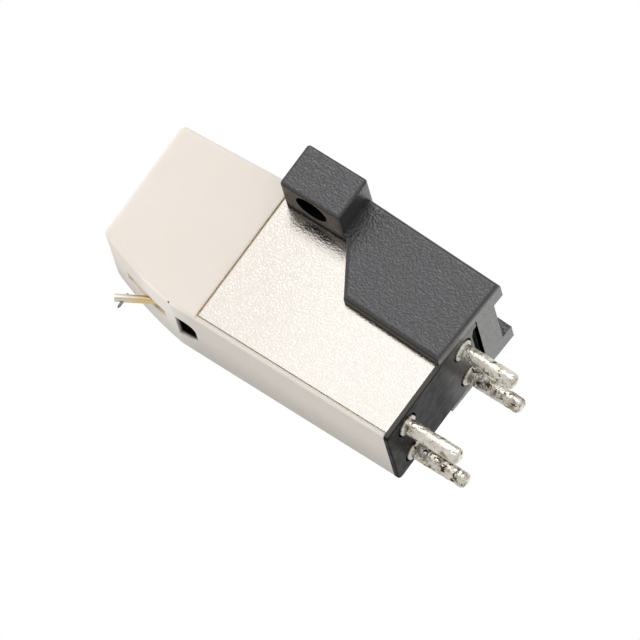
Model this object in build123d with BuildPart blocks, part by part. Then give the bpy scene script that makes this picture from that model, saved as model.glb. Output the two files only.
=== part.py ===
from build123d import *
from math import cos, radians, sin, tan
import os

# Moving-magnet stylus cartridge with a half-inch screw mounting, in millimetres.
# Origin: midway between the two screw holes, on the mounting face.
# +Z points up to the headshell, +Y back to the terminal pins, -Y forward to the stylus.

# Fits and gaps
fit = 0.02              # around pieces that are fixed together
slide_gap = 0.06        # around what pulls out with the stylus holder
joint_gap = 0.05        # holder to can, and tray to terminal plate
lip_gap = 0.025         # can edge to the lip of the tray
swing_gap = 0.10        # cantilever to holder at the end of its swing
winding_gap = 0.17      # around each bobbin

# Screw ears
hole_pitch = 12.7
hole_d = 2.7
ear_end = 1.7           # screw axis to the end of the ear
ear_length = 5.4
ear_depth = 3.75
ear_round = 0.26

# Housing: a roof and two cheeks that grip the can
roof = 2.1
roof_step = 0.2         # top of the roof below the mounting face
roof_fall = 0.47        # further drop towards the rear
cheek = 1.0
cheek_drop = 8.1        # mounting face to the lower edge of a cheek, at the rear
cheek_rise = 0.3        # of that edge towards the front
cheek_overhang = 0.3    # past the rear of the can
rear_lean = 0.3         # top of the rear edge behind its foot
cheek_round = 0.36
slant_setback = 0.3     # behind the ear
slant_run = 2.6         # further back to the full drop of a cheek
channel_width = 6.1
channel_depth = 1.72
channel_setback = 0.6   # behind the ears
rear_wall_drop = 3.7    # mounting face to the lower edge of the wall behind the can

# Shield can: folded sheet, open at the rear, with side skirts below its floor
can_width = 8.08
can_wall = 0.3
can_front = 3.05        # ahead of the screw axis
can_rear = 14.1         # behind the screw axis
can_depth = 14.44       # mounting face to the lower edge of a skirt
can_round = 0.16
skirt = 0.85

# Terminal plate and pins
plate_thick = 0.4
plate_drop = 0.05       # below the tray
plate_corner = 0.5
plate_round = 0.12
plug_depth = 2.0
clip_width = 6.2        # clip opening at the top of the plate, deeper in the middle
clip_waist = 4.8
clip_height = 0.46
clip_waist_height = 0.7
clip_deep = 1.2
recess_d = 2.1
recess_depth = 0.3
pin_d = 1.24
pin_reach = 4.83        # beyond the plate
pin_round = 0.36
pin_tail_d = 0.7
collar_d = 1.75
collar_height = 0.42
pin_inset_side = 1.34   # plug edge to pin axis
pin_inset_top = 3.22
pin_inset_low = 0.58

# Coils, poles and the frame that guides the stylus sleeve
frame_length = 4.6
frame_cover = 0.6       # above the sleeve
pole_thick = 0.6
pole_height = 0.7
pole_spread = 0.6       # pole tip above and below the sleeve axis
pole_inset = 0.5        # blind end of the pole slots
ramp_run = 3.2          # along which a pole rises to its coil
bobbin_wall = 0.25
bobbin_flange = 0.35
row_gap = 0.6           # between upper and lower bobbins
coil_inset = 0.08       # winding below the flange rim
yoke_thick = 0.6
yoke_width = 1.2
yoke_margin = 0.2

# Stylus holder: front block, nose and long tray under the can
holder_reach = 12.9     # screw axis to the front of the holder
top_fall = 0.55         # drop of the top towards the front
front_lean = 0.12       # foot of the front face behind its top
nose_rise = 2.0         # rise of the underside towards the front
nose_bulge = 0.25
holder_corner = 0.38
holder_round = 0.42
nose_blend = 2.0
lip = 0.39              # tray below the can's skirts
lip_inset = 0.10
lip_round = 0.3
slot_half = 0.66        # slot for the cantilever
slot_setback = 2.3      # behind the front of the holder
bar = 1.185             # between slot and window
bar_height = 0.77
window_half = 1.58
window_length = 1.8
window_corner = 0.95    # at the rear of the window
window_setback = 0.085  # behind the lower edge of the nose
window_depth = 1.17
window_skin = 0.35      # underside around the window
window_undercut = 0.45  # hollow above the skin, past the rim

# Stylus sleeve, damper, cantilever and tip
sleeve_size = 2.0
sleeve_wall = 0.15
sleeve_corner = 0.12
sleeve_clear = 0.24     # above the can's floor
sleeve_length = 5.5
sleeve_ahead = 1.3      # ahead of the pivot
pivot_ahead = 0.10      # ahead of the rear of the block
damper_gap = 0.03
damper_length = 0.8
damper_bore_gap = 0.05
cantilever_d = 0.62
cantilever_wall = 0.08
cantilever_angle = 29.2
cantilever_droop = 3.0  # further down, at the end of the swing
cantilever_length = 7.3
bend_ahead = 0.8        # ahead of the pivot
bend_radius = 0.6
magnet_length = 1.7
magnet_behind = 0.6     # behind the pivot
magnet_swing = 0.4      # free space around the magnet
stub_over = 0.1
shank_d = 0.22
shank_setback = 0.75    # behind the end of the cantilever
shank_over = 0.06
shank_drop = 0.75       # below the axis of the cantilever
diamond_height = 0.18
diamond_point_d = 0.04

# Places worked out from the sizes above
ear_half = ear_length / 2
ear_end_x = hole_pitch / 2 + ear_end
can_half = can_width / 2
pocket_half = can_half + fit
cheek_half = pocket_half + cheek
housing_rear_y = can_rear + cheek_overhang
slant_top_y = ear_half + slant_setback
slant_foot_y = slant_top_y + slant_run
roof_rear_z = -(roof_step + roof_fall)
channel_front_y = ear_half + channel_setback

can_top_z = -(roof + fit)
can_low_z = -can_depth
floor_low_z = can_low_z + skirt
floor_top_z = floor_low_z + can_wall
inner_half = can_half - can_wall
inner_top_z = can_top_z - can_wall
can_length = can_front + can_rear

plug_half = inner_half - fit
plug_top_z = inner_top_z - fit
plug_low_z = floor_top_z + fit
plug_front_y = can_rear - plug_depth
plate_low_z = can_low_z - lip - plate_drop
plate_rear_y = can_rear + plate_thick
plate_top_z = -(rear_wall_drop + fit)
pin_x = plug_half - pin_inset_side
pin_high_z = plug_top_z - pin_inset_top
pin_low_z = plug_low_z + pin_inset_low
pin_places = [(pin_x, pin_high_z), (-pin_x, pin_high_z), (pin_x, pin_low_z), (-pin_x, pin_low_z)]

holder_rear_y = -(can_front + joint_gap)
holder_low_z = can_low_z - lip
nose_front_z = holder_low_z + nose_rise
tray_half = inner_half - slide_gap
tray_top_z = floor_low_z - slide_gap
tray_rear_y = can_rear - joint_gap
lip_half = can_half - lip_inset
lip_top_z = can_low_z - lip_gap

sleeve_half = sleeve_size / 2
sleeve_inner = sleeve_half - sleeve_wall
pivot_y = holder_rear_y - pivot_ahead
pivot_z = floor_top_z + sleeve_clear + sleeve_half
sleeve_front_y = pivot_y - sleeve_ahead

tube_r = cantilever_d / 2
slope = radians(cantilever_angle)
low_slope = radians(cantilever_angle + cantilever_droop)
bend_y = pivot_y - bend_ahead
tube_end_y = bend_y - cantilever_length * cos(slope)
tube_end_z = pivot_z - cantilever_length * sin(slope)
shank_y = bend_y - (cantilever_length - shank_setback) * cos(slope)
shank_axis_z = pivot_z - (cantilever_length - shank_setback) * sin(slope)
shank_top_z = shank_axis_z + tube_r / cos(slope) + shank_over
shank_low_z = shank_axis_z - shank_drop
magnet_front_y = pivot_y + magnet_behind
magnet_rear_y = magnet_front_y + magnet_length
magnet_r = sleeve_inner - magnet_swing

# The bar stands where the drooping cantilever still passes over it
bar_top_z = holder_low_z + bar_height
low_bend_z = pivot_z - bend_ahead * sin(radians(cantilever_droop))
tube_over_bar = low_bend_z - tube_r / cos(low_slope) - swing_gap - bar_top_z
slot_rear_y = bend_y - tube_over_bar / tan(low_slope)
window_front_y = slot_rear_y + bar
nose_end_y = window_front_y - window_setback
slot_front_y = -holder_reach + slot_setback
nose_front_y = -holder_reach + front_lean
nose_run = nose_end_y - nose_front_y
nose_middle = (nose_end_y - nose_run / 2, (nose_front_z + holder_low_z) / 2 - nose_bulge)
slot_share = (slot_front_y - nose_front_y) / nose_run
slot_front_z = nose_front_z - nose_rise * slot_share - 4 * nose_bulge * slot_share * (1 - slot_share)

frame_front_y = -can_front + can_wall + fit
frame_rear_y = frame_front_y + frame_length
frame_top_z = pivot_z + sleeve_half + frame_cover
coil_x = inner_half / 2
flange_r = coil_x - winding_gap
coil_low_z = floor_top_z + winding_gap + flange_r
coil_high_z = coil_low_z + 2 * flange_r + row_gap
yoke_front_y = plug_front_y - yoke_thick
ramp_rear_y = frame_rear_y + ramp_run
bobbin_front_y = ramp_rear_y + winding_gap
bobbin_rear_y = yoke_front_y - winding_gap
core_width = pole_thick + 2 * (fit + bobbin_wall)
core_height = pole_height + 2 * (fit + bobbin_wall)

os.makedirs("parts", exist_ok=True)


def cross_plane(y):
    """Upright plane across the cartridge at y, drawn in X and Z and facing forward."""
    return Plane.XZ.offset(-y)


# Housing
with BuildPart() as saddle:
    with BuildSketch(Plane.YZ):
        with BuildLine():
            Polyline(
                (0, -roof_step),
                (housing_rear_y + rear_lean, roof_rear_z),
                (housing_rear_y, -cheek_drop),
                (slant_foot_y, cheek_rise - cheek_drop),
                (slant_top_y, -ear_depth),
                (0, -ear_depth),
                close=True,
            )
        make_face()
    extrude(amount=cheek_half, both=True)
    fillet(saddle.faces().filter_by(Axis.X).edges(), radius=cheek_round)

with BuildPart() as housing:
    Box(2 * ear_end_x, ear_length, ear_depth, align=(Align.CENTER, Align.CENTER, Align.MAX))
    fillet(housing.edges(), radius=ear_round)
    add(saddle.part)
    with Locations((-hole_pitch / 2, 0), (hole_pitch / 2, 0)):
        Hole(hole_d / 2)
    with Locations((0, -ear_half, -roof)):
        Box(
            2 * pocket_half,
            ear_half + can_rear + fit,
            cheek_drop,
            align=(Align.CENTER, Align.MIN, Align.MAX),
            mode=Mode.SUBTRACT,
        )
    with Locations((0, can_rear, -rear_wall_drop)):
        Box(
            2 * pocket_half,
            cheek_overhang + rear_lean,
            cheek_drop,
            align=(Align.CENTER, Align.MIN, Align.MAX),
            mode=Mode.SUBTRACT,
        )
    with Locations((0, channel_front_y, 0)):
        Box(
            channel_width,
            housing_rear_y + rear_lean - channel_front_y,
            channel_depth,
            align=(Align.CENTER, Align.MIN, Align.MAX),
            mode=Mode.SUBTRACT,
        )
housing.part.label = "housing"
export_step(housing.part, "parts/housing.step")

# Shield can
with BuildPart() as shield_can:
    with BuildSketch(cross_plane(-can_front)):
        with Locations((0, can_low_z)):
            Rectangle(can_width, can_top_z - can_low_z, align=(Align.CENTER, Align.MIN))
        fillet(vertices().group_by(Axis.Y)[-1], radius=can_wall)
        with Locations((0, floor_top_z)):
            Rectangle(
                2 * inner_half,
                inner_top_z - floor_top_z,
                align=(Align.CENTER, Align.MIN),
                mode=Mode.SUBTRACT,
            )
        with Locations((0, can_low_z)):
            Rectangle(2 * inner_half, skirt, align=(Align.CENTER, Align.MIN), mode=Mode.SUBTRACT)
    extrude(amount=-can_length)
    with BuildSketch(cross_plane(-can_front)):
        with Locations((0, floor_low_z)):
            Rectangle(
                can_width - can_wall,
                inner_top_z - floor_low_z,
                align=(Align.CENTER, Align.MIN),
            )
        with Locations((0, pivot_z)):
            Rectangle(
                sleeve_size + 2 * slide_gap,
                sleeve_size + 2 * slide_gap,
                mode=Mode.SUBTRACT,
            )
    extrude(amount=-can_wall)
    front_edges = shield_can.edges().filter_by(Axis.Z).group_by(Axis.Y)[0].sort_by(Axis.X)
    fillet([front_edges[0], front_edges[-1]], radius=can_round)
shield_can.part.label = "shield_can"
export_step(shield_can.part, "parts/shield_can.step")

# Terminal plate: a flange over the rear of the can and a plug inside it
with BuildPart() as terminal_plate:
    with BuildSketch(cross_plane(can_rear)):
        with Locations((0, plate_low_z)):
            Rectangle(can_width, -cheek_drop - plate_low_z, align=(Align.CENTER, Align.MIN))
        fillet(vertices().group_by(Axis.Y)[0], radius=plate_corner)
    extrude(amount=-plate_thick)
    rear_rim = terminal_plate.faces().sort_by(Axis.Y)[-1].edges().sort_by(Axis.Z)
    fillet(rear_rim[:-1], radius=plate_round)
    with BuildSketch(cross_plane(can_rear)):
        with Locations((0, -cheek_drop)):
            Rectangle(can_width, plate_top_z + cheek_drop, align=(Align.CENTER, Align.MIN))
    extrude(amount=-plate_thick)
    with BuildSketch(cross_plane(can_rear)):
        with Locations((0, plug_low_z)):
            Rectangle(2 * plug_half, plug_top_z - plug_low_z, align=(Align.CENTER, Align.MIN))
    extrude(amount=plug_depth)
    with BuildSketch(cross_plane(plate_rear_y)):
        with BuildLine():
            half_clip = Polyline(
                (0, plate_top_z),
                (clip_width / 2, plate_top_z),
                (clip_width / 2, plate_top_z - clip_height),
                (clip_waist / 2, plate_top_z - clip_waist_height),
                (0, plate_top_z - clip_waist_height),
            )
            mirror(half_clip, about=Plane.YZ)
        make_face()
    extrude(amount=clip_deep, mode=Mode.SUBTRACT)
    with BuildSketch(cross_plane(plate_rear_y)):
        with Locations(*pin_places):
            Circle(recess_d / 2)
    extrude(amount=recess_depth, mode=Mode.SUBTRACT)
    with BuildSketch(cross_plane(plate_rear_y)):
        with Locations(*pin_places):
            Circle(pin_tail_d / 2 + fit)
    extrude(amount=plate_thick + plug_depth, mode=Mode.SUBTRACT)
terminal_plate.part.label = "terminal_plate"
export_step(terminal_plate.part, "parts/terminal_plate.step")

# Terminal pins: a tail in the plate, a collar in the recess and a round-nosed pin
collar_foot_y = plate_rear_y - recess_depth
collar_face_y = collar_foot_y + collar_height
pin_end_y = plate_rear_y + pin_reach
pin_names = ["upper_right", "upper_left", "lower_right", "lower_left"]
for name, (x, z) in zip(pin_names, pin_places):
    with BuildPart() as pin:
        with BuildSketch(Plane((x, 0, z), x_dir=(1, 0, 0), z_dir=(0, 0, 1))):
            with BuildLine():
                Polyline(
                    (0, plug_front_y),
                    (pin_tail_d / 2, plug_front_y),
                    (pin_tail_d / 2, collar_foot_y),
                    (collar_d / 2, collar_foot_y),
                    (collar_d / 2, collar_face_y),
                    (pin_d / 2, collar_face_y),
                    (pin_d / 2, pin_end_y),
                    (0, pin_end_y),
                    close=True,
                )
            make_face()
            fillet(vertices().group_by(Axis.Y)[-1].sort_by(Axis.X)[-1], radius=pin_round)
        revolve(axis=Axis((x, 0, z), (0, 1, 0)))
    pin.part.label = f"terminal_pin_{name}"
    export_step(pin.part, f"parts/terminal_pin_{name}.step")

# Four pole pieces with their bobbins and coils
pole_tip_y = frame_front_y + pole_inset
pole_rows = [("upper", pivot_z + pole_spread, coil_high_z), ("lower", pivot_z - pole_spread, coil_low_z)]
half_height = pole_height / 2
for side, x in [("right", coil_x), ("left", -coil_x)]:
    for row, tip_z, core_z in pole_rows:
        with BuildPart() as pole:
            with BuildSketch(Plane.YZ.offset(x)):
                with BuildLine():
                    Polyline(
                        (pole_tip_y, tip_z + half_height),
                        (frame_rear_y, tip_z + half_height),
                        (ramp_rear_y, core_z + half_height),
                        (yoke_front_y, core_z + half_height),
                        (yoke_front_y, core_z - half_height),
                        (ramp_rear_y, core_z - half_height),
                        (frame_rear_y, tip_z - half_height),
                        (pole_tip_y, tip_z - half_height),
                        close=True,
                    )
                make_face()
            extrude(amount=pole_thick / 2, both=True)
        pole.part.label = f"pole_{row}_{side}"
        export_step(pole.part, f"parts/pole_{row}_{side}.step")

        with BuildPart() as bobbin:
            with BuildSketch(cross_plane(bobbin_front_y)):
                with Locations((x, core_z)):
                    Rectangle(core_width, core_height)
            extrude(amount=bobbin_front_y - bobbin_rear_y)
            with BuildSketch(cross_plane(bobbin_front_y), cross_plane(bobbin_rear_y - bobbin_flange)):
                with Locations((x, core_z)):
                    Rectangle(2 * flange_r, 2 * flange_r)
            extrude(amount=-bobbin_flange)
            with BuildSketch(cross_plane(bobbin_front_y)):
                with Locations((x, core_z)):
                    Rectangle(pole_thick + 2 * fit, pole_height + 2 * fit)
            extrude(amount=bobbin_front_y - bobbin_rear_y, mode=Mode.SUBTRACT)
        bobbin.part.label = f"bobbin_{row}_{side}"
        export_step(bobbin.part, f"parts/bobbin_{row}_{side}.step")

        winding_front_y = bobbin_front_y + bobbin_flange + fit
        winding_rear_y = bobbin_rear_y - bobbin_flange - fit
        with BuildPart() as coil:
            with BuildSketch(cross_plane(winding_front_y)):
                with Locations((x, core_z)):
                    Circle(flange_r - coil_inset)
                    Rectangle(core_width + 2 * fit, core_height + 2 * fit, mode=Mode.SUBTRACT)
            extrude(amount=winding_front_y - winding_rear_y)
        coil.part.label = f"coil_{row}_{side}"
        export_step(coil.part, f"parts/coil_{row}_{side}.step")

    # Yoke that joins the two poles of one side
    yoke_low_z = coil_low_z - half_height - yoke_margin
    yoke_height = coil_high_z + half_height + yoke_margin - yoke_low_z
    with BuildPart() as yoke:
        with Locations((x, yoke_front_y, yoke_low_z)):
            Box(yoke_width, yoke_thick, yoke_height, align=(Align.CENTER, Align.MIN, Align.MIN))
    yoke.part.label = f"yoke_{side}"
    export_step(yoke.part, f"parts/yoke_{side}.step")

# Core frame: guides the stylus sleeve and holds the pole tips
with BuildPart() as core_frame:
    with Locations((0, frame_front_y, plug_low_z)):
        Box(
            2 * plug_half,
            frame_length,
            frame_top_z - plug_low_z,
            align=(Align.CENTER, Align.MIN, Align.MIN),
        )
    with Locations((0, frame_front_y, pivot_z)):
        Box(
            sleeve_size + 2 * slide_gap,
            frame_length,
            sleeve_size + 2 * slide_gap,
            align=(Align.CENTER, Align.MIN, Align.CENTER),
            mode=Mode.SUBTRACT,
        )
    with Locations(*[(x, pole_tip_y, tip_z) for x in (coil_x, -coil_x) for _, tip_z, _ in pole_rows]):
        Box(
            pole_thick + 2 * fit,
            frame_length - pole_inset,
            pole_height + 2 * fit,
            align=(Align.CENTER, Align.MIN, Align.CENTER),
            mode=Mode.SUBTRACT,
        )
core_frame.part.label = "core_frame"
export_step(core_frame.part, "parts/core_frame.step")

# Stylus holder
with BuildPart() as stylus_holder:
    with BuildSketch(Plane.YZ):
        with BuildLine():
            Polyline(
                (nose_end_y, holder_low_z),
                (holder_rear_y, holder_low_z),
                (holder_rear_y, can_top_z),
                (-holder_reach, can_top_z - top_fall),
                (nose_front_y, nose_front_z),
            )
            ThreePointArc((nose_front_y, nose_front_z), nose_middle, (nose_end_y, holder_low_z))
        make_face()
        fillet(vertices().sort_by(Axis.X)[:2], radius=holder_corner)
        fillet(vertices().group_by(Axis.Y)[0].sort_by(Axis.X)[0], radius=nose_blend)
    extrude(amount=can_half, both=True)
    side_edges = stylus_holder.faces().filter_by(Axis.X).edges()
    rear_edges = stylus_holder.faces().sort_by(Axis.Y)[-1].edges()
    fillet([edge for edge in side_edges if edge not in rear_edges], radius=holder_round)
    with BuildSketch(cross_plane(holder_rear_y)):
        with Locations((0, holder_low_z)):
            Rectangle(2 * tray_half, tray_top_z - holder_low_z, align=(Align.CENTER, Align.MIN))
            Rectangle(2 * lip_half, lip_top_z - holder_low_z, align=(Align.CENTER, Align.MIN))
        fillet(vertices().group_by(Axis.Y)[0], radius=lip_round)
    extrude(amount=holder_rear_y - tray_rear_y)
    with BuildSketch(Plane.YZ):
        with BuildLine():
            Polyline(
                (sleeve_front_y, pivot_z + sleeve_inner),
                (slot_front_y, slot_front_z),
                (slot_front_y, holder_low_z),
                (slot_rear_y, holder_low_z),
                (slot_rear_y, bar_top_z),
                (sleeve_front_y, bar_top_z),
                close=True,
            )
        make_face()
    extrude(amount=slot_half, both=True, mode=Mode.SUBTRACT)
    with BuildSketch(Plane.XY.offset(holder_low_z)):
        with Locations((0, window_front_y)):
            Rectangle(2 * window_half, window_length, align=(Align.CENTER, Align.MIN))
        fillet(vertices().group_by(Axis.Y)[-1], radius=window_corner)
    extrude(amount=window_depth, mode=Mode.SUBTRACT)
    with BuildSketch(Plane.XY.offset(holder_low_z + window_skin)):
        with Locations((0, window_front_y - window_undercut)):
            Rectangle(
                2 * (window_half + window_undercut),
                window_length + window_undercut,
                align=(Align.CENTER, Align.MIN),
            )
    extrude(amount=window_depth - window_skin, mode=Mode.SUBTRACT)
    with BuildSketch(cross_plane(holder_rear_y)):
        with Locations((0, pivot_z)):
            Rectangle(sleeve_size + 2 * fit, sleeve_size + 2 * fit)
    extrude(amount=holder_rear_y - sleeve_front_y, mode=Mode.SUBTRACT)
stylus_holder.part.label = "stylus_holder"
export_step(stylus_holder.part, "parts/stylus_holder.step")

# Stylus sleeve
with BuildPart() as stylus_sleeve:
    with BuildSketch(cross_plane(sleeve_front_y)):
        with Locations((0, pivot_z)):
            RectangleRounded(sleeve_size, sleeve_size, sleeve_wall + sleeve_corner)
            RectangleRounded(2 * sleeve_inner, 2 * sleeve_inner, sleeve_corner, mode=Mode.SUBTRACT)
    extrude(amount=-sleeve_length)
stylus_sleeve.part.label = "stylus_sleeve"
export_step(stylus_sleeve.part, "parts/stylus_sleeve.step")

# Rubber damper: a ring with a ball-shaped rim, centred on the pivot
damper_r = sleeve_inner - damper_gap
damper_half = damper_length / 2
damper_rim_r = (damper_r**2 - damper_half**2) ** 0.5
damper_bore_r = tube_r + damper_bore_gap
with BuildPart() as damper:
    with BuildSketch(Plane((0, pivot_y, pivot_z), x_dir=(1, 0, 0), z_dir=(0, 0, 1))):
        with BuildLine():
            Line((damper_bore_r, -damper_half), (damper_rim_r, -damper_half))
            ThreePointArc((damper_rim_r, -damper_half), (damper_r, 0), (damper_rim_r, damper_half))
            Line((damper_rim_r, damper_half), (damper_bore_r, damper_half))
            Line((damper_bore_r, damper_half), (damper_bore_r, -damper_half))
        make_face()
    revolve(axis=Axis((0, pivot_y, pivot_z), (0, 1, 0)))
damper.part.label = "damper"
export_step(damper.part, "parts/damper.step")

# Cantilever: a thin tube, straight through the damper and bent down in front of it
with BuildPart() as cantilever:
    with BuildLine(Plane.YZ) as tube_line:
        FilletPolyline(
            (magnet_rear_y + stub_over, pivot_z),
            (bend_y, pivot_z),
            (tube_end_y, tube_end_z),
            radius=bend_radius,
        )
    with BuildSketch(Plane(tube_line.line @ 0, z_dir=tube_line.line % 0)):
        Circle(tube_r)
        Circle(tube_r - cantilever_wall, mode=Mode.SUBTRACT)
    sweep(path=tube_line.line)
    with Locations((0, shank_y, shank_axis_z)):
        Cylinder(shank_d / 2 + fit, 2 * (shank_top_z - shank_axis_z), mode=Mode.SUBTRACT)
cantilever.part.label = "cantilever"
export_step(cantilever.part, "parts/cantilever.step")

# Magnet: a ring on the rear of the cantilever
with BuildPart() as magnet:
    with BuildSketch(cross_plane(magnet_front_y)):
        with Locations((0, pivot_z)):
            Circle(magnet_r)
            Circle(tube_r + fit, mode=Mode.SUBTRACT)
    extrude(amount=-magnet_length)
magnet.part.label = "magnet"
export_step(magnet.part, "parts/magnet.step")

# Stylus shank and its diamond point
with BuildPart() as stylus_shank:
    with Locations((0, shank_y, shank_top_z)):
        Cylinder(
            shank_d / 2,
            shank_top_z - shank_low_z,
            align=(Align.CENTER, Align.CENTER, Align.MAX),
        )
stylus_shank.part.label = "stylus_shank"
export_step(stylus_shank.part, "parts/stylus_shank.step")

with BuildPart() as diamond_tip:
    with Locations((0, shank_y, shank_low_z)):
        Cone(
            diamond_point_d / 2,
            shank_d / 2,
            diamond_height,
            align=(Align.CENTER, Align.CENTER, Align.MAX),
        )
diamond_tip.part.label = "diamond_tip"
export_step(diamond_tip.part, "parts/diamond_tip.step")
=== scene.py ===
import math

import bmesh
import bpy
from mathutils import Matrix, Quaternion, Vector, noise


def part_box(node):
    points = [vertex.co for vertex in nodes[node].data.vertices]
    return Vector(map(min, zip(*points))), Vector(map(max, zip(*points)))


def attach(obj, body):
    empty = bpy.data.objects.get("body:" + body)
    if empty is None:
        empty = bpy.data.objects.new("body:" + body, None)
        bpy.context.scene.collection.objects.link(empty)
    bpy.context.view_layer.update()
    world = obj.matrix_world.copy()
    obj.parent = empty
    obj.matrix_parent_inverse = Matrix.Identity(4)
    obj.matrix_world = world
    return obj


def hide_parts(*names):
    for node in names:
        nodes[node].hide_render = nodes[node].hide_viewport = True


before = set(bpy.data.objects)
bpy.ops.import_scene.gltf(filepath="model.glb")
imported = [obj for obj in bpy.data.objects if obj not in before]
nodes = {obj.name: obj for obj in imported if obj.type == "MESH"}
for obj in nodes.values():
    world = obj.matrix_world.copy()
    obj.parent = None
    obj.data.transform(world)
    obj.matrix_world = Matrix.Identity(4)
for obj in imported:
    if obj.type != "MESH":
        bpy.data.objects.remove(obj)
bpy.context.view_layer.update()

MM = 0.001

# Camera: direction from the cartridge, roll and the point at the centre of the image
CAMERA_AZIMUTH = math.radians(108.69)
CAMERA_ELEVATION = math.radians(-14.28)
CAMERA_ROLL = math.radians(36.64)
CAMERA_DISTANCE = 1.0
CAMERA_NEAR = 0.01
CAMERA_FAR = 20.0
CAMERA_TARGET = Vector((-0.116, 3.44, -8.756)) * MM
IMAGE_WIDTH_MM = 47.1
SENSOR_MM = 36.0

# Floor, in metres
FLOOR_Z = -0.9
FLOOR_HALF = 4.0

# World: even light on dull surfaces, and walls and ground, placed by direction, that glossy ones mirror
WHITE = (1, 1, 1, 1)
AMBIENT = 0.6
AMBIENT_COLOUR = (1, 0.99, 0.975, 1)
GLOSS_GREY = 0.62
GLOSS_WHITE = 1.1
GLOSS_GROUND = 0.3
WALL_BEGINS_X = 0.55
WALL_FULL_X = 1.0
GROUND_ENDS_Z = -0.3
SKY_BEGINS_Z = 0.1

# Lamps: distance and width in metres, direction from the cartridge
LAMP_DISTANCE = 0.5
KEY_LEVEL = 0.67
KEY_SIZE = 0.3
KEY_DIRECTION = Vector((0.615, -0.77, -0.175))
FILL_LEVEL = 0.3
FILL_SIZE = 0.4
FILL_DIRECTION = Vector((-0.8, 0.0, 0.6))
TOP_LEVEL = 0.22
TOP_SIZE = 0.4
TOP_DIRECTION = Vector((0.15, 0.0, 0.99))
GLINT_LEVEL = 0.135
GLINT_SIZE = 0.2
GLINT_DIRECTION = Vector((0.8, -0.27, 0.55))

# Noise of the finishes: the values between which most of it lies
NOISE_LOW = 0.3
NOISE_HIGH = 0.7

# Colour sockets of a Mix node, by number because its sockets share their names
MIX_SHARE = 0
MIX_FIRST = 6
MIX_SECOND = 7
MIX_RESULT = 2

# Housing: from here on lengths are in millimetres of the row frame
SCREW_X = 6.35
SCREW_HOLE_R = 1.35
# Painted shade on the screw holes' walls, fading out between these radii
HOLE_DARK_R = SCREW_HOLE_R + 0.01
HOLE_EDGE_R = SCREW_HOLE_R + 0.05
EAR_REAR_Y = 2.7
# Painted sheen on the housing's rear faces, rising between these two
REAR_SHEEN_FROM_Y = EAR_REAR_Y + 1.0
REAR_SHEEN_FULL_Y = EAR_REAR_Y + 8.0
# Painted shade and warm painted bounce under the cheeks and ears: darkest by the can, warm brown further
# out
CHEEK_FOOT_Z = -4.2
EAR_FOOT_Z = -3.9
UNDERSIDE_SHADE_X = 4.05
UNDERSIDE_BOUNCE_X = 5.25
FOOT_GLOSS = 0.16
GRAIN_PER_MM = 5.8
GRAIN_DEPTH = 0.041

# Terminal plate
PLATE_LOW_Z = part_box("terminal_plate")[0].z / MM
PLATE_TOP_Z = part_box("terminal_plate")[1].z / MM
# Painted sheen on the plate: near black below this height, paler up to the top
PLATE_SHEEN_FROM_Z = PLATE_LOW_Z + 5.5

# Shield can
CAN_FRONT_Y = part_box("shield_can")[0].y / MM
# Painted warm reflection of the cream holder on the bent front edge, fading out between these
EDGE_REFLECTION_FULL_Y = CAN_FRONT_Y + 0.08
EDGE_REFLECTION_ENDS_Y = CAN_FRONT_Y + 0.2
# Painted reflection of the dark ear makes the can darker towards the front, fading out between these
CAN_SHADE_FULL_Y = -3.0
CAN_SHADE_ENDS_Y = 9.0
PEBBLES_PER_MM = 6.2
PEBBLE_DEPTH = 0.014

# Stylus holder
HOLDER_LOW_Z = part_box("stylus_holder")[0].z / MM
HOLDER_HALF = 4.0
HOLDER_REAR_Y = -3.1
HOLDER_CROWN = 1.15
LIP_TOP_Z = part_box("shield_can")[0].z / MM - 0.025
GLOW_DEPTH = 0.5
GLOW_WIDTH = 0.4
# Painted warm shade along the seam with the can, this wide
SEAM_SHADE_WIDTH = 0.14
# Painted light under the nose, between these
NOSE_FRONT_Y = -8.5
NOSE_REAR_Y = -4.3
NOSE_FADE = 1.0
# Painted shade in the slot
SLOT_HALF = 0.66
SLOT_FRONT_Y = -10.6
SLOT_REAR_Y = -6.38
SLOT_TOP_Z = HOLDER_LOW_Z + 3.5
# Painted shade on the window's walls and in the hollow behind it
WINDOW_HALF = 1.58
WINDOW_FRONT_Y = -5.195
WINDOW_REAR_Y = WINDOW_FRONT_Y + 1.8
WINDOW_PALE_Z = HOLDER_LOW_Z + 0.06
HOLLOW_HALF = 2.05
HOLLOW_FRONT_Y = -5.7
HOLLOW_REAR_Y = -3.35
HOLLOW_LOW_Z = HOLDER_LOW_Z + 0.35
HOLLOW_TOP_Z = HOLDER_LOW_Z + 1.17
# A small dark spot on the holder's underside
DARK_SPOT_PLACE = (3.8, -5.48, -14.72)
DARK_SPOT_RADIUS = 0.13

# Cantilever
TUBE_TIP_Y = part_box("cantilever")[0].y / MM
TUBE_BARE_Y = TUBE_TIP_Y + 0.5
TUBE_GOLD_Y = TUBE_TIP_Y + 2.2

# Coils
TURN_PITCH = 0.12
TURN_DEPTH = 0.03

# Tinned pins
PIN_RING = 0.06
PIN_LUMP = 0.035
PIN_LUMPS_PER_MM = 1.7
PIN_LUMP_FALLOFF = 0.6
PIN_LUMP_SPACING = 2.0
PIN_LUMP_OCTAVES = 4
PIN_STREAKS = (1.0, 0.6, 1.0)
PIN_PITS_PER_MM = 5.0
PIN_PIT_DEPTH = 0.05
SAME_POINT = 1e-4
ON_RING = 1e-5


def srgb(red, green, blue):
    """A display colour, 0 to 255, as a linear one."""
    def linear(value):
        share = value / 255
        return share / 12.92 if share <= 0.04045 else ((share + 0.055) / 1.055) ** 2.4

    return (linear(red), linear(green), linear(blue), 1.0)


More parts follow.
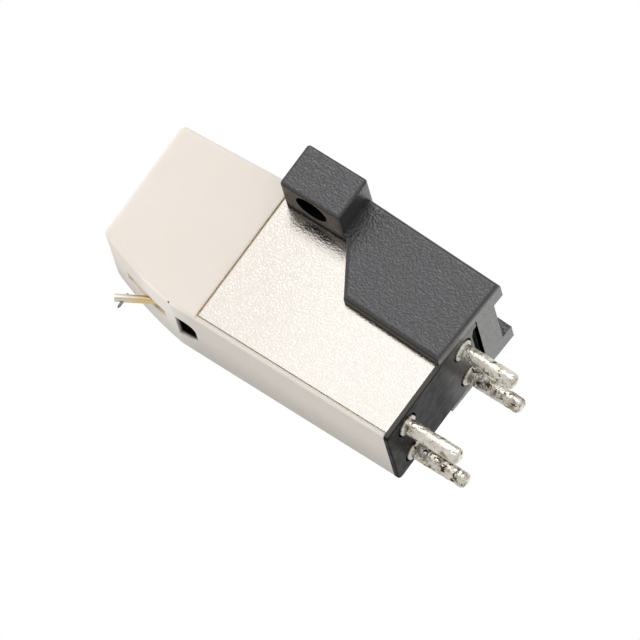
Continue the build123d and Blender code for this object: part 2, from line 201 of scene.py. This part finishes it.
class Nodes:
    """A node tree that adds each node with its inputs and settings in one call."""

    def __init__(self, tree):
        self.tree = tree

    def add(self, kind, inputs=None, **settings):
        node = self.tree.nodes.new(kind)
        for name, value in settings.items():
            setattr(node, name, value)
        for name, value in (inputs or {}).items():
            self.put(node.inputs[name], value)
        return node

    def put(self, socket, value):
        """Links an output to a socket, or sets the socket to a constant."""
        if isinstance(value, bpy.types.NodeSocket):
            self.tree.links.new(value, socket)
        else:
            socket.default_value = value

    def split(self, vector):
        parts = self.add("ShaderNodeSeparateXYZ", {"Vector": vector}).outputs
        return {"x": parts["X"], "y": parts["Y"], "z": parts["Z"]}

    def math(self, operation, first, second=0.0):
        return self.add("ShaderNodeMath", {0: first, 1: second}, operation=operation).outputs["Value"]

    def ramp(self, value, low, high, first=0.0, last=1.0):
        """First below low, last above high and a smooth change between."""
        inputs = {"Value": value, "From Min": low, "From Max": high, "To Min": first, "To Max": last}
        node = self.add("ShaderNodeMapRange", inputs, interpolation_type="SMOOTHSTEP")
        return node.outputs["Result"]


class Sky(Nodes):
    """The world's node tree, empty at first."""

    def __init__(self, world):
        world.use_nodes = True
        super().__init__(world.node_tree)
        self.tree.nodes.clear()

    def light(self, colour, strength):
        return self.add("ShaderNodeBackground", {"Color": colour, "Strength": strength}).outputs[0]

    def choose(self, share, first, second):
        return self.add("ShaderNodeMixShader", {0: share, 1: first, 2: second}).outputs[0]


class Surface(Nodes):
    """A Principled material whose textures lie in millimetres of the row frame."""

    def __init__(self, name, **values):
        self.material = bpy.data.materials.new(name)
        self.material.use_nodes = True
        super().__init__(self.material.node_tree)
        self.shader = self.tree.nodes["Principled BSDF"]
        for socket, value in values.items():
            self.set(socket.replace("_", " "), value)
        place = self.add("ShaderNodeTexCoord").outputs["Object"]
        scaled = self.add("ShaderNodeVectorMath", {"Vector": place, "Scale": 1 / MM}, operation="SCALE")
        self.place = scaled.outputs["Vector"]
        self.axis = self.split(self.place)
        self.facing = self.split(self.add("ShaderNodeNewGeometry").outputs["Normal"])

    def set(self, socket, value):
        self.put(self.shader.inputs[socket], value)

    def noise(self, scale, detail=2.0, roughness=0.5, shift=0.0):
        """Soft noise with features about 1/scale mm wide."""
        place = self.place
        if shift:
            both = {0: place, 1: (shift, shift, shift)}
            place = self.add("ShaderNodeVectorMath", both, operation="ADD").outputs["Vector"]
        inputs = {"Vector": place, "Scale": scale, "Detail": detail, "Roughness": roughness}
        return self.add("ShaderNodeTexNoise", inputs).outputs["Fac"]

    def spread(self, cloud, first=0.0, last=1.0):
        """First where a noise is low and last where it is high."""
        return self.ramp(cloud, NOISE_LOW, NOISE_HIGH, first, last)

    def mix(self, share, first, second):
        """The first colour where share is 0 and the second where it is 1."""
        inputs = {MIX_SHARE: share, MIX_FIRST: first, MIX_SECOND: second}
        return self.add("ShaderNodeMix", inputs, data_type="RGBA").outputs[MIX_RESULT]

    def bump(self, height, depth, normal=None):
        """A surface that rises by depth, in millimetres, where height is 1."""
        inputs = {"Height": height, "Strength": 1.0, "Distance": depth * MM}
        if normal:
            inputs["Normal"] = normal
        return self.add("ShaderNodeBump", inputs).outputs["Normal"]

    def inside(self, axis, low, high, soft):
        """1 between low and high along an axis, in millimetres."""
        rise = self.ramp(self.axis[axis], low - soft, low + soft)
        fall = self.ramp(self.axis[axis], high - soft, high + soft, 1.0, 0.0)
        return self.math("MULTIPLY", rise, fall)

    def block(self, low, high, margin):
        """1 inside the block between two corners, walls included, in millimetres."""
        x, y, z = (
            self.inside(axis, first - margin, last + margin, margin / 2)
            for axis, first, last in zip("xyz", low, high)
        )
        return self.math("MULTIPLY", self.math("MULTIPLY", x, y), z)


def screw_holes(look):
    """1 on the walls of the two screw holes, where shade is painted."""
    aside = look.math("SUBTRACT", look.math("ABSOLUTE", look.axis["x"]), SCREW_X)
    across = look.add("ShaderNodeCombineXYZ", {"X": aside, "Y": look.axis["y"]}).outputs["Vector"]
    away = look.add("ShaderNodeVectorMath", {0: across}, operation="LENGTH").outputs["Value"]
    return look.ramp(away, HOLE_DARK_R, HOLE_EDGE_R, 1.0, 0.0)


def housing_look():
    """Black moulding with a fine grain, with a painted sheen that makes it paler at the rear, painted
    shade and warm painted bounce underneath, where it is also dull, and painted shade in its screw holes.
    """
    look = Surface("housing_black")
    grain = look.noise(GRAIN_PER_MM, 1.0, 0.4)
    black = look.mix(look.spread(grain), srgb(39, 39, 42), srgb(55, 55, 59))
    # Painted sheen: rear faces paler towards the back
    painted_light_ramp = look.ramp(look.axis["y"], REAR_SHEEN_FROM_Y, REAR_SHEEN_FULL_Y)
    rear = look.mix(painted_light_ramp, srgb(40, 40, 42), srgb(111, 111, 110))
    # Painted shade and warm painted bounce underneath: near black by the can, warm brown further out
    outward = look.ramp(look.math("ABSOLUTE", look.axis["x"]), UNDERSIDE_SHADE_X, UNDERSIDE_BOUNCE_X)
    ear_painted_shade_and_bounce = look.mix(outward, srgb(8, 7, 6), srgb(64, 55, 43))
    high = look.ramp(look.axis["z"], CHEEK_FOOT_Z, EAR_FOOT_Z)
    painted_underside = look.mix(high, srgb(62, 56, 48), ear_painted_shade_and_bounce)
    behind = look.ramp(look.facing["y"], 0.6, 0.95)
    below = look.ramp(look.facing["z"], -0.95, -0.5, 1.0, 0.0)
    outside = look.mix(below, look.mix(behind, black, rear), painted_underside)
    hole_painted_shade = screw_holes(look)
    # Painted shade on the screw holes' walls
    look.set("Base Color", look.mix(hole_painted_shade, outside, srgb(10, 10, 10)))
    foot_gloss = look.math("MULTIPLY", outward, FOOT_GLOSS)
    gloss = look.ramp(below, 0.0, 1.0, 1.0, foot_gloss)
    look.set("Specular IOR Level", look.ramp(hole_painted_shade, 0.0, 1.0, gloss, 0.0))
    look.set("Roughness", look.spread(look.noise(3.0, 3.0, shift=9.0), 0.28, 0.4))
    look.set("Normal", look.bump(grain, GRAIN_DEPTH))
    return look.material


def plate_look():
    """Smooth black moulding, glossier towards the top, where a painted sheen makes it paler, with a
    painted highlight on its sides.
    """
    look = Surface("plate_black")
    # Painted sheen: near black low down, paler towards the top
    height = look.ramp(look.axis["z"], PLATE_SHEEN_FROM_Z, PLATE_TOP_Z)
    face = look.mix(height, srgb(26, 26, 26), srgb(91, 91, 90))
    # Painted highlight on the plate's sides
    side = look.ramp(look.math("ABSOLUTE", look.facing["x"]), 0.5, 0.9)
    look.set("Base Color", look.mix(side, face, srgb(86, 85, 83)))
    look.set("Specular IOR Level", look.ramp(height, 0.0, 1.0, 0.05, 0.8))
    look.set("Roughness", look.spread(look.noise(1.5, 3.0), 0.3, 0.42))
    look.set("Normal", look.bump(look.noise(3.0, 2.0), 0.006))
    return look.material


def can_look():
    """Bright nickel plate over a pebbled sheet, darker towards the front with a painted reflection of the
    ear, and warmer round its bent front edge with a painted reflection of the cream holder.
    """
    look = Surface("can_nickel", Metallic=1.0)
    pebbles = look.noise(PEBBLES_PER_MM, 2.0, 0.55)
    # Painted reflection of the dark ear: darker towards the front
    painted_light_ramp = look.ramp(look.axis["y"], CAN_SHADE_FULL_Y, CAN_SHADE_ENDS_Y)
    dark = look.mix(painted_light_ramp, srgb(230, 222, 213), srgb(240, 234, 226))
    light = look.mix(painted_light_ramp, srgb(239, 233, 226), srgb(245, 240, 233))
    pebbled_with_painted_shade = look.mix(look.spread(pebbles), dark, light)
    # Painted warm reflection of the cream holder on the bent front edge
    edge = look.ramp(look.axis["y"], EDGE_REFLECTION_FULL_Y, EDGE_REFLECTION_ENDS_Y, 1.0, 0.0)
    bent = look.math("MULTIPLY", edge, look.ramp(look.facing["y"], -0.95, -0.6))
    look.set("Base Color", look.mix(bent, pebbled_with_painted_shade, srgb(240, 218, 190)))
    look.set("Roughness", look.spread(look.noise(2.0, 3.0, shift=4.0), 0.1, 0.17))
    look.set("Normal", look.bump(pebbles, PEBBLE_DEPTH))
    return look.material


def holder_cream(look, from_can):
    """Cream with painted light that makes it paler under the nose, and painted warm shade on the sides
    along the can.
    """
    plain = look.mix(look.noise(0.2, 2.0), srgb(236, 227, 217), srgb(240, 233, 226))
    # Painted light under the nose
    below = look.ramp(look.facing["z"], -0.9, -0.5, 1.0, 0.0)
    nose = look.math("MULTIPLY", look.inside("y", NOSE_FRONT_Y, NOSE_REAR_Y, NOSE_FADE), below)
    # Painted warm shade along the seam with the can
    aside = look.ramp(look.math("ABSOLUTE", look.facing["x"]), 0.5, 0.8)
    seam = look.math("MULTIPLY", aside, look.ramp(from_can, 0.0, SEAM_SHADE_WIDTH, 1.0, 0.0))
    return look.mix(seam, look.mix(nose, plain, srgb(253, 246, 237)), srgb(238, 216, 188))


def painted_shade_and_dark_spot(look):
    """1 where shade is painted, in the hollow behind the window and rising to 1 up the window's walls, and
    1 on a small dark spot.
    """
    hollow = look.block(
        (-HOLLOW_HALF, HOLLOW_FRONT_Y, HOLLOW_LOW_Z),
        (HOLLOW_HALF, HOLLOW_REAR_Y, HOLLOW_TOP_Z),
        margin=0.04,
    )
    window = look.block(
        (-WINDOW_HALF, WINDOW_FRONT_Y, HOLDER_LOW_Z),
        (WINDOW_HALF, WINDOW_REAR_Y, HOLLOW_LOW_Z),
        margin=0.02,
    )
    walls = look.math("MULTIPLY", window, look.ramp(look.axis["z"], WINDOW_PALE_Z, HOLLOW_LOW_Z))
    away = look.add("ShaderNodeVectorMath", {0: look.place, 1: DARK_SPOT_PLACE}, operation="DISTANCE")
    dark_spot = look.ramp(away.outputs["Value"], DARK_SPOT_RADIUS / 2, DARK_SPOT_RADIUS, 1.0, 0.0)
    return look.math("MAXIMUM", look.math("MAXIMUM", hollow, walls), dark_spot)


def holder_look():
    """Smooth cream moulding, crowned underneath, that lets in more light along the can, with painted shade
    in its slot, hollow and window walls.
    """
    look = Surface("holder_cream", Specular_IOR_Level=0.4, Subsurface_Scale=GLOW_DEPTH * MM)
    look.set("Subsurface Radius", (1.0, 0.8, 0.6))
    ahead = look.math("SUBTRACT", HOLDER_REAR_Y, look.axis["y"])
    under = look.math("SUBTRACT", LIP_TOP_Z, look.axis["z"])
    from_can = look.math("ABSOLUTE", look.math("MAXIMUM", ahead, under))
    look.set("Subsurface Weight", look.ramp(from_can, 0.0, GLOW_WIDTH, 1.0, 0.3))
    # Painted shade in the slot
    slot = look.block(
        (-SLOT_HALF, SLOT_FRONT_Y, HOLDER_LOW_Z),
        (SLOT_HALF, SLOT_REAR_Y, SLOT_TOP_Z),
        margin=0.01,
    )
    shaded = look.mix(slot, holder_cream(look, from_can), srgb(230, 218, 204))
    # Painted shade in the hollow and up the window's walls, and the small dark spot
    look.set("Base Color", look.mix(painted_shade_and_dark_spot(look), shaded, srgb(42, 36, 30)))
    look.set("Roughness", look.spread(look.noise(1.2, 3.0, shift=3.0), 0.36, 0.46))
    square = look.math("MULTIPLY", look.axis["x"], look.axis["x"])
    crown = look.math("MULTIPLY", square, -1 / HOLDER_HALF ** 2)
    look.set("Normal", look.bump(look.noise(5.0, 2.0), 0.001, look.bump(crown, HOLDER_CROWN)))
    return look.material


def pin_look():
    """Dull tin plate with pits, olive stains and brown specks; stains and specks grow towards the far
    pins, partly as their stains and partly as painted shade.
    """
    look = Surface("pin_tin", Metallic=0.75)
    streaks = look.add("ShaderNodeVectorMath", {0: look.place, 1: PIN_STREAKS}, operation="MULTIPLY")
    look.place = streaks.outputs["Vector"]
    cloud = look.noise(2.2, 4.0, 0.6)
    tin = look.mix(look.ramp(cloud, 0.35, 0.65), srgb(238, 231, 216), srgb(255, 252, 243))
    # More stains and specks towards the far pins: partly their stains, partly painted shade
    far_stains_and_painted_shade = look.ramp(look.axis["x"], -1.0, 1.0, 0.02, 0.0)
    stain = look.math("ADD", look.noise(1.3, 4.0, 0.65, shift=31.0), far_stains_and_painted_shade)
    speck = look.math("ADD", look.noise(2.4, 3.0, 0.6, shift=17.0), far_stains_and_painted_shade)
    stained = look.mix(look.ramp(stain, 0.54, 0.68), tin, srgb(176, 163, 132))
    look.set("Base Color", look.mix(look.ramp(speck, 0.59, 0.65), stained, srgb(84, 56, 30)))
    look.set("Roughness", look.spread(cloud, 0.2, 0.34))
    look.set("Normal", look.bump(look.noise(PIN_PITS_PER_MM, 3.0, 0.55), PIN_PIT_DEPTH))
    return look.material


def cantilever_look():
    """Thin tube with a gold tint that fades to bare metal at its end."""
    look = Surface("cantilever_gold", Metallic=1.0)
    bare = look.ramp(look.axis["y"], TUBE_BARE_Y, TUBE_GOLD_Y, 1.0, 0.0)
    gold = look.mix(look.noise(1.5, 2.0), srgb(248, 216, 150), srgb(255, 240, 192))
    look.set("Base Color", look.mix(bare, gold, srgb(252, 245, 232)))
    look.set("Roughness", look.spread(look.noise(6.0, 3.0), 0.22, 0.34))
    look.set("Normal", look.bump(look.noise(8.0, 2.0), 0.002))
    return look.material


def cloudy(look, cloud, dark, light, roughness):
    """Gives a look faint clouds of colour and roughness."""
    look.set("Base Color", look.mix(cloud, dark, light))
    look.set("Roughness", look.spread(cloud, roughness - 0.08, roughness + 0.08))


def plain_metal(name, dark, light, roughness):
    """Bare metal in faint clouds."""
    look = Surface(name, Metallic=1.0)
    cloudy(look, look.noise(2.0, 4.0, 0.6), dark, light, roughness)
    look.set("Normal", look.bump(look.noise(7.0, 2.0), 0.003))
    return look.material


def plain_moulding(name, dark, light, roughness):
    """Dull plastic or rubber in faint clouds."""
    look = Surface(name)
    cloudy(look, look.noise(0.8, 3.0), dark, light, roughness)
    look.set("Normal", look.bump(look.noise(4.0, 2.0), 0.004))
    return look.material


def coil_look():
    """Enamelled copper wire in even turns."""
    look = Surface("coil_copper", Metallic=1.0, Roughness=0.35)
    angle = look.math("MULTIPLY", look.axis["y"], 2 * math.pi / TURN_PITCH)
    turns = look.ramp(look.math("SINE", angle), -1.0, 1.0)
    look.set("Base Color", look.mix(turns, srgb(120, 62, 30), srgb(205, 126, 72)))
    look.set("Normal", look.bump(turns, TURN_DEPTH))
    return look.material


def diamond_look():
    """Polished dark stone."""
    look = Surface("diamond", IOR=2.4, Roughness=0.08, Specular_IOR_Level=0.5)
    look.set("Base Color", look.mix(look.noise(12.0, 3.0), srgb(46, 42, 38), srgb(82, 76, 70)))
    return look.material


def dress(material, *names):
    """Gives CAD nodes their finish."""
    for name in names:
        mesh = nodes[name].data
        mesh.materials.clear()
        mesh.materials.append(material)


def four(kind):
    """The names of the four nodes of a kind."""
    return [f"{kind}_{row}_{side}" for row in ("upper", "lower") for side in ("right", "left")]


def lumpy_pin(name, finish):
    """A terminal pin whose tinned shaft swells and shrinks along its length."""
    low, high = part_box(name)
    middle = (low + high) / 2
    shape = bmesh.new()
    shape.from_mesh(nodes[name].data)
    bmesh.ops.remove_doubles(shape, verts=shape.verts, dist=SAME_POINT * MM)
    plate_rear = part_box("terminal_plate")[1].y
    rings = int((high.y - plate_rear) / (PIN_RING * MM))
    for ring in range(1, rings):
        everything = shape.verts[:] + shape.edges[:] + shape.faces[:]
        place = (0, plate_rear + ring * PIN_RING * MM, 0)
        bmesh.ops.bisect_plane(
            shape, geom=everything, dist=ON_RING * MM, plane_co=place, plane_no=(0, 1, 0)
        )
    for vert in shape.verts:
        outward = Vector((vert.co.x - middle.x, 0, vert.co.z - middle.z))
        if vert.co.y > plate_rear and outward.length > 0:
            spot = vert.co / MM * PIN_LUMPS_PER_MM
            lump = noise.fractal(spot, PIN_LUMP_FALLOFF, PIN_LUMP_SPACING, PIN_LUMP_OCTAVES)
            vert.co += outward.normalized() * lump * PIN_LUMP * MM
    mesh = bpy.data.meshes.new(f"tinned_{name}")
    shape.to_mesh(mesh)
    shape.free()
    for face in mesh.polygons:
        face.use_smooth = True
    mesh.materials.append(finish)
    pin = bpy.data.objects.new(f"tinned_{name}", mesh)
    bpy.context.collection.objects.link(pin)
    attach(pin, "body")
    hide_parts(name)


def camera_back():
    """Unit vector from the cartridge to the camera."""
    return Vector((
        math.sin(CAMERA_AZIMUTH) * math.cos(CAMERA_ELEVATION),
        -math.cos(CAMERA_AZIMUTH) * math.cos(CAMERA_ELEVATION),
        math.sin(CAMERA_ELEVATION),
    ))


def make_camera():
    """Long lens at the photo's angle, rolled as the photo is."""
    back = camera_back()
    data = bpy.data.cameras.new("camera")
    data.sensor_width = SENSOR_MM
    data.lens = SENSOR_MM * CAMERA_DISTANCE / (IMAGE_WIDTH_MM * MM)
    data.clip_start = CAMERA_NEAR
    data.clip_end = CAMERA_FAR
    camera = bpy.data.objects.new("camera", data)
    camera.location = CAMERA_TARGET + back * CAMERA_DISTANCE
    camera.rotation_mode = "QUATERNION"
    upright = (-back).to_track_quat("-Z", "Y")
    camera.rotation_quaternion = upright @ Quaternion((0, 0, 1), CAMERA_ROLL)
    bpy.context.collection.objects.link(camera)
    bpy.context.scene.camera = camera


def make_world():
    """White to the camera, even light on dull surfaces, and walls, a grey gap and dark ground in gloss."""
    world = bpy.data.worlds.new("studio")
    bpy.context.scene.world = world
    sky = Sky(world)
    ray = sky.add("ShaderNodeLightPath").outputs
    towards = sky.split(sky.add("ShaderNodeTexCoord").outputs["Generated"])
    sideways = sky.math("ABSOLUTE", towards["x"])
    wall = sky.ramp(sideways, WALL_BEGINS_X, WALL_FULL_X, GLOSS_GREY, GLOSS_WHITE)
    above = sky.ramp(towards["z"], GROUND_ENDS_Z, SKY_BEGINS_Z, GLOSS_GROUND, 1.0)
    ambient = sky.light(AMBIENT_COLOUR, AMBIENT)
    lit = sky.choose(ray["Is Glossy Ray"], ambient, sky.light(wall, above))
    seen = sky.math("MAXIMUM", ray["Is Camera Ray"], ray["Is Transmission Ray"])
    whole = sky.choose(seen, lit, sky.light(WHITE, 1.0))
    sky.add("ShaderNodeOutputWorld", {"Surface": whole})


def make_floor():
    """Plain pale floor."""
    shape = bmesh.new()
    bmesh.ops.create_grid(shape, x_segments=1, y_segments=1, size=FLOOR_HALF)
    mesh = bpy.data.meshes.new("floor")
    shape.to_mesh(mesh)
    shape.free()
    floor = bpy.data.objects.new("floor", mesh)
    floor.location.z = FLOOR_Z
    bpy.context.collection.objects.link(floor)
    look = Surface("floor_pale", Roughness=0.9)
    look.set("Base Color", look.mix(look.noise(0.002), (0.86, 0.86, 0.86, 1), (0.9, 0.9, 0.9, 1)))
    mesh.materials.append(look.material)


def make_lamp(name, direction, level, size, mirrored=False):
    """Soft lamp that adds level to the light on a surface that faces it, or only to its gloss."""
    data = bpy.data.lights.new(name, "AREA")
    data.shape = "SQUARE"
    data.size = size
    data.energy = level * (math.pi * LAMP_DISTANCE) ** 2
    lamp = bpy.data.objects.new(name, data)
    towards = direction.normalized()
    lamp.location = CAMERA_TARGET + towards * LAMP_DISTANCE
    lamp.rotation_mode = "QUATERNION"
    lamp.rotation_quaternion = (-towards).to_track_quat("-Z", "Y")
    lamp.visible_camera = False
    lamp.visible_glossy = mirrored
    lamp.visible_diffuse = not mirrored
    bpy.context.collection.objects.link(lamp)


# Outside
dress(housing_look(), "housing")
dress(plate_look(), "terminal_plate")
dress(can_look(), "shield_can")
dress(holder_look(), "stylus_holder")
pin_finish = pin_look()
dress(pin_finish, *four("terminal_pin"))
for pin_name in four("terminal_pin"):
    lumpy_pin(pin_name, pin_finish)
dress(cantilever_look(), "cantilever")
dress(plain_metal("shank_steel", srgb(120, 114, 108), srgb(170, 164, 158), 0.3), "stylus_shank")
dress(diamond_look(), "diamond_tip")

# Inside
iron = plain_metal("pole_iron", srgb(120, 120, 122), srgb(165, 165, 168), 0.4)
dress(iron, *four("pole"), "yoke_right", "yoke_left")
dress(plain_metal("magnet_alloy", srgb(78, 78, 80), srgb(104, 104, 108), 0.45), "magnet")
dress(plain_metal("sleeve_brass", srgb(190, 150, 84), srgb(224, 188, 118), 0.3), "stylus_sleeve")
dress(plain_moulding("bobbin_nylon", srgb(214, 208, 190), srgb(230, 225, 210), 0.5), *four("bobbin"))
dress(plain_moulding("frame_grey", srgb(70, 70, 72), srgb(88, 88, 90), 0.55), "core_frame")
dress(plain_moulding("damper_rubber", srgb(26, 26, 26), srgb(38, 38, 38), 0.7), "damper")
dress(coil_look(), *four("coil"))

# Studio
make_camera()
make_world()
make_floor()
make_lamp("key", KEY_DIRECTION, KEY_LEVEL, KEY_SIZE)
make_lamp("fill", FILL_DIRECTION, FILL_LEVEL, FILL_SIZE)
make_lamp("top", TOP_DIRECTION, TOP_LEVEL, TOP_SIZE)
make_lamp("glint", GLINT_DIRECTION, GLINT_LEVEL, GLINT_SIZE, mirrored=True)
bpy.context.scene.view_settings.view_transform = "Standard"
